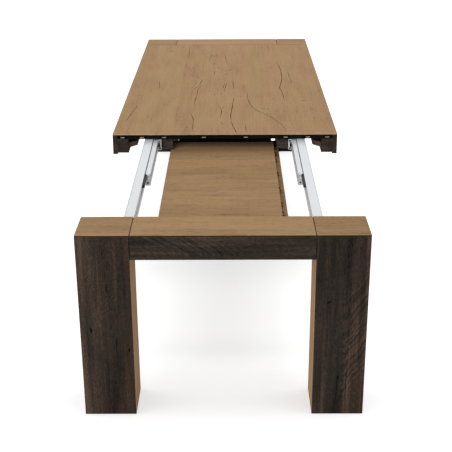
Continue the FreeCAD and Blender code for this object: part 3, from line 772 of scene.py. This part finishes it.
# %% Outlines with rounded corners
def rounded(corners, radius, steps=4):
    """An outline whose corners are arcs.

    An arc's centre lies on the line that halves its corner, radius / sin(half the angle) away, and the arc
    meets the sides radius / tan(half the angle) from the corner.
    """
    corners = np.array(corners, float)
    back = np.roll(corners, 1, axis=0) - corners
    ahead = np.roll(corners, -1, axis=0) - corners
    back /= np.linalg.norm(back, axis=1, keepdims=True)
    ahead /= np.linalg.norm(ahead, axis=1, keepdims=True)
    half = np.arccos(np.clip((back * ahead).sum(axis=1), -1, 1))[:, None] / 2
    halving = (back + ahead) / np.linalg.norm(back + ahead, axis=1, keepdims=True)
    centre = corners + halving * radius / np.sin(half)
    first = corners + back * radius / np.tan(half) - centre
    last = corners + ahead * radius / np.tan(half) - centre
    start = np.arctan2(first[:, 1], first[:, 0])
    sweep = np.arctan2(last[:, 1], last[:, 0]) - start
    sweep = (sweep + math.pi) % (2 * math.pi) - math.pi
    angle = start[:, None] + sweep[:, None] * np.linspace(0, 1, steps)
    arcs = centre[:, None, :] + radius * np.stack([np.cos(angle), np.sin(angle)], axis=2)
    return arcs.reshape(-1, 2)


def bar(outline, front, back):
    """An outline of x and z carried straight along Y."""
    grid = np.empty((2, len(outline), 3))
    grid[..., 0] = outline[:, 0]
    grid[..., 1] = np.array([front, back])[:, None]
    grid[..., 2] = outline[:, 1]
    return tube(grid)


print("a rounded square has", len(rounded([(0, 0), (1, 0), (1, 1), (0, 1)], 0.1)), "points")

# %% A rail's outline
groove_mouth = 12 * millimetre
groove_height = 26 * millimetre
groove_lip = 3 * millimetre
groove_depth = 5 * millimetre
line_inset = 2.0 * millimetre
line_width = 2.2 * millimetre
line_depth = 2.5 * millimetre
channel_width = 7 * millimetre
channel_depth = 1.5 * millimetre
die_radius = 0.4 * millimetre


def t_groove(face, inward, level):
    """The corners of a T groove from top to bottom; inward is +1 or -1 along X."""
    lip = face + inward * groove_lip
    floor = lip + inward * groove_depth
    mouth, head = groove_mouth / 2, groove_height / 2
    upper = [(face, mouth), (lip, mouth), (lip, head), (floor, head)]
    corners = [(x, level + z) for x, z in upper]
    return corners + [(x, level - z) for x, z in upper[::-1]]


def top_notch(middle, width, depth, top):
    """A square notch in a rail's top, from its outer side to its inner side."""
    outer = middle + width / 2
    inner = middle - width / 2
    return [(outer, top), (outer, top - depth), (inner, top - depth), (inner, top)]


def rail_outline(kind):
    """A right-hand rail's outline, from the bottom inner corner round to the inner face."""
    low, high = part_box("right_" + kind)
    level = (low.z + high.z) / 2
    corners = [(low.x, low.z), (high.x, low.z)]
    if kind != "moving_rail":
        corners += t_groove(high.x, -1, level)[::-1]
    corners += [(high.x, high.z)]
    if kind == "moving_rail":
        corners += top_notch(high.x - line_inset - line_width / 2, line_width, line_depth, high.z)
    if kind == "middle_rail":
        corners += top_notch((low.x + high.x) / 2, channel_width, channel_depth, high.z)
    corners += [(low.x, high.z)]
    if kind != "fixed_rail":
        corners += t_groove(low.x, 1, level)
    return rounded(corners, die_radius)


print("a moving rail's outline has", len(rail_outline("moving_rail")), "points")

# %% Rails, plugs and caps
corner_radius = 0.8 * millimetre
plug_thickness = 2.5 * millimetre
cap_inset = 2.2 * millimetre
cap_thickness = 1.2 * millimetre
cap_gap = 0.8 * millimetre
for side, sign in zip(sides, (-1, 1)):
    for kind in ("fixed_rail", "middle_rail", "moving_rail"):
        node = side + "_" + kind
        low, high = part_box(node)
        rebuilt(node, [bar(rail_outline(kind) * (sign, 1), low.y, high.y)])
    plug_low = (low.x + corner_radius, high.y, low.z + corner_radius)
    plug_high = (high.x - corner_radius, high.y + plug_thickness, high.z - corner_radius)
    piece(side + "_rail_plug", board(plug_low, plug_high, corner_radius), body_of[node], "black_nylon")
    node = side + "_fixed_rail"
    low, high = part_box(node)
    middle = (low.z + high.z) / 2
    shoe_room = groove_height / 2 + cap_gap
    shapes = []
    for bottom, top in ((low.z + cap_inset, middle - shoe_room), (middle + shoe_room, high.z - cap_inset)):
        cap_low = (low.x + cap_inset, low.y - cap_thickness, bottom)
        cap_high = (high.x - cap_inset, low.y + cap_thickness, top)
        shapes.append(board(cap_low, cap_high, corner_radius))
    piece(side + "_rail_cap", joined(shapes), body_of[node], "black_nylon")
print(len(finished), "pieces finished")

# %% [markdown]
# ## End fittings of the middle rails
# A black glide runs ahead of each middle rail, beside the moving rail, with a round rubber buffer at each
# end. The cast block behind it has a domed screw under its pocket.

# %% Glides, buffers and screws
buffer_height = 5 * millimetre
buffer_radius = 3.5 * millimetre
buffer_nose = 1.5 * millimetre
glide_ease = 1.0 * millimetre
screw_radius = 4.2 * millimetre
screw_height = 1.8 * millimetre
screw_drop = 12 * millimetre
screw_nose = 1.2 * millimetre
for side in sides:
    node = side + "_end_glide"
    low, high = (np.array(corner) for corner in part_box(node))
    strip_high = high - (0, 0, buffer_height)
    centre = (low + high) / 2
    shapes = [board(low, strip_high, glide_ease)]
    for y in (low[1] + buffer_radius, high[1] - buffer_radius):
        foot = (centre[0] - buffer_radius, y - buffer_radius, strip_high[2] - buffer_radius)
        head = (centre[0] + buffer_radius, y + buffer_radius, high[2])
        shapes.append(turned(foot, head, "Z", buffer_nose))
    rebuilt(node, shapes)
    low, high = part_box(side + "_end_block")
    middle = (low + high) / 2
    screw_low = (middle.x - screw_radius, low.y - screw_height, middle.z - screw_drop - screw_radius)
    screw_high = (middle.x + screw_radius, low.y + screw_height, middle.z - screw_drop + screw_radius)
    head = turned(screw_low, screw_high, "Y", screw_nose)
    piece(side + "_end_screw", head, body_of[side + "_end_block"], "painted_steel")
print("a glide has", len(shapes), "shapes")

# %% [markdown]
# ## Cracks and knots filled with dark putty
# Oak splits along the grain as it dries, and the joiner fills the splits with dark putty and sands it flush.
# Each filling is a thin lens-shaped bead that follows a slightly bowed line, wanders a little and tapers at
# both ends. The places follow the photograph, since one recognises this top by them.


# %% Lines through a few points
def smooth_line(points, count):
    """A smooth line through a few points: a cubic between each pair, whose slope at a point is that of the
    points beside it. With t from 0 to 1 it is (1 + 2t)(1 - t)^2 a + t^2 (3 - 2t) b plus the slopes' shares.
    """
    points = np.array(points, float)
    reach = np.concatenate([[0.0], np.cumsum(np.linalg.norm(np.diff(points, axis=0), axis=1))])
    slope = np.gradient(points, reach, axis=0)
    place = np.linspace(0, reach[-1], count)
    span = np.clip(np.searchsorted(reach, place) - 1, 0, len(points) - 2)
    length = np.diff(reach)[span][:, None]
    t = (place - reach[span])[:, None] / length
    ends = (1 + 2 * t) * (1 - t) ** 2 * points[span] + t ** 2 * (3 - 2 * t) * points[span + 1]
    slopes = t * (1 - t) ** 2 * slope[span] + t ** 2 * (t - 1) * slope[span + 1]
    return ends + length * slopes


print("places on a bent line:", smooth_line([(0, 0), (1, 1), (2, 0)], 5).round(2).tolist())

# %% Beads of putty
bead_step = 9 * millimetre
bead_rise = 0.10 * millimetre
bead_depth = 1.5 * millimetre
bead_wander = 0.5 * millimetre
bead_wave = 50 * millimetre
bead_blunt = 0.4
bead_end = 0.004


def bead(points, width, normal, number, wandering=bead_wander):
    """A lens-shaped bead of putty along a line on a face.

    Its half width is width / 2 * sin(pi t) ** blunt, a little uneven, and the line wanders by two sines. The
    section has four corners: two edges, a low crest and a root.
    """
    normal = np.array(normal, float)
    length = np.linalg.norm(np.diff(np.array(points, float), axis=0), axis=1).sum()
    count = max(9, int(length / bead_step))
    line = smooth_line(points, count)
    along = np.gradient(line, axis=0)
    side = np.cross(normal, along / np.linalg.norm(along, axis=1, keepdims=True))
    t = np.linspace(bead_end, 1 - bead_end, count)
    wave = length * t / bead_wave
    wander = wandering * (np.sin(wave + 1.7 * number) + 0.7 * np.sin(2.7 * wave + 0.9 * number))
    line = line + wander[:, None] * side
    taper = np.sin(math.pi * t) ** bead_blunt
    half = width / 2 * taper * (0.82 + 0.18 * np.sin(1.9 * wave + number))
    grid = np.stack([
        line + half[:, None] * side,
        line + (bead_rise * taper)[:, None] * normal,
        line - half[:, None] * side,
        line - bead_depth * normal,
    ], axis=1)
    return tube(grid)


print("a bead stands", round(bead_rise / millimetre, 2), "mm above its board")

# %% Cracks in the main top
faint, fine, medium, wide, knot = (2.0, 2.9, 3.7, 4.7, 8.0)
speck_length = 16
speck_width = 6.5
top_cracks = [
    (fine, [(-248, 1496), (-240, 1344), (-240, 1164)]),
    (medium, [(-93, 1241), (-98, 1170), (-107, 1075)]),
    (fine, [(-10, 1294), (-3, 1116), (7, 968)]),
    (wide, [(309, 1005), (321, 900), (326, 762), (322, 592), (311, 484), (302, 380), (310, 278),
            (313, 180), (314, 100)]),
    (fine, [(364, 800), (369, 628), (375, 483)]),
    (medium, [(-171, 674), (-162, 640), (-153, 607)]),
    (medium, [(-133, 592), (-158, 421), (-184, 340)]),
    (faint, [(-165, 515), (-180, 445), (-195, 375)]),
    (medium, [(-136, 462), (-155, 335), (-155, 230), (-163, 125), (-162, 31)]),
    (medium, [(-6, 510), (-10, 450), (-15, 384)]),
    (medium, [(9, 524), (-3, 401), (-7, 299)]),
    (medium, [(40, 565), (42, 453), (46, 366)]),
    (medium, [(119, 297), (119, 183), (128, 73), (142, -18), (168, -92), (206, -150), (241, -229),
                (268, -310), (287, -382), (294, -466)]),
    (wide, [(45, 170), (39, 59), (33, -61), (28, -176), (31, -286)]),
    (wide, [(31, -286), (40, -366), (49, -430), (56, -486)]),
    (medium, [(-37, 30), (-23, -45), (-20, -132), (-25, -217)]),
    (fine, [(-21, -280), (-12, -317), (-2, -330)]),
    (medium, [(-176, -130), (-161, -215), (-158, -337), (-156, -428)]),
    (fine, [(100, -340), (101, -418), (101, -482)]),
    (medium, [(-460, 38), (-477, -122), (-494, -276)]),
    (fine, [(-67, 805), (-68, 745), (-68, 688)]),
    (fine, [(273, 1518), (274, 1450), (274, 1380)]),
    (fine, [(-385, 575), (-375, 470), (-367, 372)]),
    (knot, [(402, 122), (417, 114), (432, 108)]),
]
top_specks = [(-155, 1375), (-75, 985), (-45, 885), (25, 810), (-5, 610), (200, -48), (220, -48), (-10, -23),
              (-355, 1345), (-285, 1476), (-60, 243), (-25, 258)]
marks = top_cracks + [
    (speck_width, [(x, y - speck_length / 2), (x, y + speck_length / 2)]) for x, y in top_specks]
shapes = []
for number, (width, points) in enumerate(marks):
    places = [(x * millimetre, y * millimetre, top_level) for x, y in points]
    shapes.append(bead(places, width * millimetre, (0, 0, 1), number))
piece("top_crack_putty", joined(shapes), "table_body", "oak_dark", material="crack_putty")
print(len(top_cracks), "cracks and", len(top_specks), "specks in the top")

# %% Cracks in the near legs
leg_cracks = [
    (knot, [(380, 476), (388, 480), (398, 487)]),
    (wide, [(430, 177), (431, 120), (427, 43)]),
    (knot, [(433, 172), (434, 163), (434, 154)]),
    (fine, [(470, 190), (462, 130), (435, 61)]),
    (medium, [(448, 272), (457, 264), (466, 272)]),
    (medium, [(454, 742), (460, 722), (470, 700)]),
    (wide, [(-426, 560), (-427, 540), (-426, 520)]),
    (knot, [(-495, 380), (-494, 368), (-494, 355)]),
    (knot, [(-354, 292), (-355, 283), (-355, 274)]),
    (wide, [(-402, 325), (-402, 305), (-403, 285)]),
]
portal_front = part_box("near_left_leg_shell")[0].y
shapes = []
for number, (width, points) in enumerate(leg_cracks):
    places = [(x * millimetre, portal_front, z * millimetre) for x, z in points]
    shapes.append(bead(places, width * millimetre, (0, -1, 0), number))
low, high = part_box("near_crosspiece_shell")
for x in (low.x, high.x):
    seam = [(x, portal_front, z) for z in (low.z, (low.z + high.z) / 2, high.z)]
    shapes.append(bead(seam, medium * millimetre, (0, -1, 0), 0, wandering=0.0))
piece("leg_crack_putty", joined(shapes), "end_portal", "oak_dark", material="black_board")
print(len(leg_cracks), "cracks in the near legs, and a dark seam beside each")

# %% [markdown]
# ## The photograph's camera
# The camera was fitted to the table's edges in the photograph: how high it stands, how far it looks down,
# and how long its lens is. It looks along the table from the near end, from well above the top.

# %% Camera
image_width = 452
focal_pixels = 982.82
camera_place = Vector((0.0347, -4.9806, 2.1146))
look_down = math.radians(22.255)
look_right = math.radians(-0.4017)
roll = math.radians(-0.3192)
camera_data = bpy.data.cameras.new("camera")
camera_data.sensor_width = 36.0
camera_data.lens = focal_pixels * camera_data.sensor_width / image_width
camera_data.clip_end = 100.0
camera = added("camera", camera_data)
turn = Matrix.Rotation(-look_right, 4, "Z") @ Matrix.Rotation(math.pi / 2 - look_down, 4, "X")
camera.matrix_world = Matrix.Translation(camera_place) @ turn @ Matrix.Rotation(roll, 4, "Z")
bpy.context.scene.camera = camera
print("lens", round(camera_data.lens, 2), "mm")

# %% [markdown]
# ## White studio
# The studio is an even white sky, a large soft lamp overhead, and a key lamp in front that reaches in under
# the main top, together at the level where a colour renders about as it is written. Reflections show the sky
# but not the overhead lamp, which would burn the rails out. The floor has lamps of its own, a strip of three
# from left to right, which draw the soft shadow under the top and between the legs; the other two lamps
# leave it out, or each leg would draw a streak on it. It is lifted to white only where the camera or a
# reflection sees it, so the white throws no more light on the table. The lift is painted shade and painted
# light: it is lower at the front, which deepens the shadow between the near legs, and higher towards the
# back, which pales the shadow under the far half.


# %% Lamps
def far_lamp(name, level, spread, tilt=0, lean=0, yaw=0):
    """A lamp so far off that its light comes from one direction, softened over an angle, in degrees."""
    data = bpy.data.lights.new(name, "SUN")
    data.energy = level
    data.angle = math.radians(spread)
    lamp = added(name, data)
    lamp.rotation_euler = [math.radians(angle) for angle in (tilt, lean, yaw)]
    return lamp


strip_leans = {"left": -24, "middle": 0, "right": 24}
overhead_lamp = far_lamp("overhead_lamp", level=0.60, spread=55)
overhead_lamp.visible_glossy = False
key_lamp = far_lamp("key_lamp", level=2.66, spread=34, tilt=64, yaw=-14)
strip_lamps = [
    far_lamp("strip_lamp_" + place, level=1.0, spread=34, lean=lean) for place, lean in strip_leans.items()]
print("two lamps for the table and", len(strip_lamps), "for the floor")

# %% Sky
sky_level = 0.45
white = (1.0, 1.0, 1.0, 1.0)


def seen_ray(paint):
    """1 for rays that the camera, a reflection or a clear pane sends out, and 0 for other rays."""
    path = paint.node("ShaderNodeLightPath")
    return paint.node("ShaderNodeClamp", None, {
        "Value": path["Is Camera Ray"] + path["Is Glossy Ray"] + path["Is Transmission Ray"]})["Result"]


sky = Paint(bpy.data.worlds.new("studio_sky"))
sky.tree.nodes.clear()
bpy.context.scene.world = sky.owner
lighting = sky.node("ShaderNodeBackground", None, {"Color": white, "Strength": sky_level})["Background"]
backdrop = sky.node("ShaderNodeBackground", None, {"Color": white, "Strength": 1.0})["Background"]
mixed = sky.node("ShaderNodeMixShader", None, {"Fac": seen_ray(sky), 1: lighting, 2: backdrop})["Shader"]
sky.node("ShaderNodeOutputWorld", None, {"Surface": mixed})
print("the sky lights the table at", sky_level)

# %% The floor's finish
floor_grey = 0.53
# Painted shade and light on the floor: the lift is lower at the front, deepening the shadow between the near
# legs, and higher towards the back, paling the shadow under the far half.
floor_lifts = [(-1.45, 0.53), (-1.05, 0.64), (-0.20, 0.64), (0.40, 0.72)]
floor_bounce = 0.52
floor_paint = Paint(bpy.data.materials.new("studio_floor"))


def matt(grey):
    """A matt grey that the lamps light."""
    return floor_paint.node("ShaderNodeBsdfDiffuse", None, {"Color": (grey, grey, grey, 1.0)})["BSDF"]


first_place, last_place = floor_lifts[0][0], floor_lifts[-1][0]
lift_length = last_place - first_place
behind = (floor_paint.split(floor_paint.object_place())[1] - first_place) / lift_length
lift_stops = [((y - first_place) / lift_length, (level,) * 3) for y, level in floor_lifts]
lift_colour = floor_paint.ramp(behind, lift_stops)
lift = floor_paint.node("ShaderNodeEmission", None, {"Color": lift_colour, "Strength": 1.0})["Emission"]
lifted = floor_paint.node("ShaderNodeAddShader", None, {0: matt(floor_grey), 1: lift})["Shader"]
sockets = {"Fac": seen_ray(floor_paint), 1: matt(floor_bounce), 2: lifted}
mixed = floor_paint.node("ShaderNodeMixShader", None, sockets)["Shader"]
floor_paint.fill(floor_paint.tree.nodes["Material Output"], {"Surface": mixed})
print("the floor is lifted over", round(lift_length, 2), "m")

# %% The floor and its lamps
floor_reach = 15.0
floor_mesh = bpy.data.meshes.new("studio_floor")
corners = [(x * floor_reach, y * floor_reach, 0) for x, y in ((-1, -1), (1, -1), (1, 1), (-1, 1))]
floor_mesh.from_pydata(corners, [], [(0, 1, 2, 3)])
floor_mesh.materials.append(floor_paint.owner)
floor = added("studio_floor", floor_mesh)
for lamps, link in (((overhead_lamp, key_lamp), "EXCLUDE"), (strip_lamps, "INCLUDE")):
    receiver = bpy.data.collections.new("floor_" + link.lower() + "d")
    receiver.objects.link(floor)
    receiver.collection_objects[0].light_linking.link_state = link
    for lamp in lamps:
        lamp.light_linking.receiver_collection = receiver
bpy.context.scene.view_settings.view_transform = "Standard"
print("studio ready")
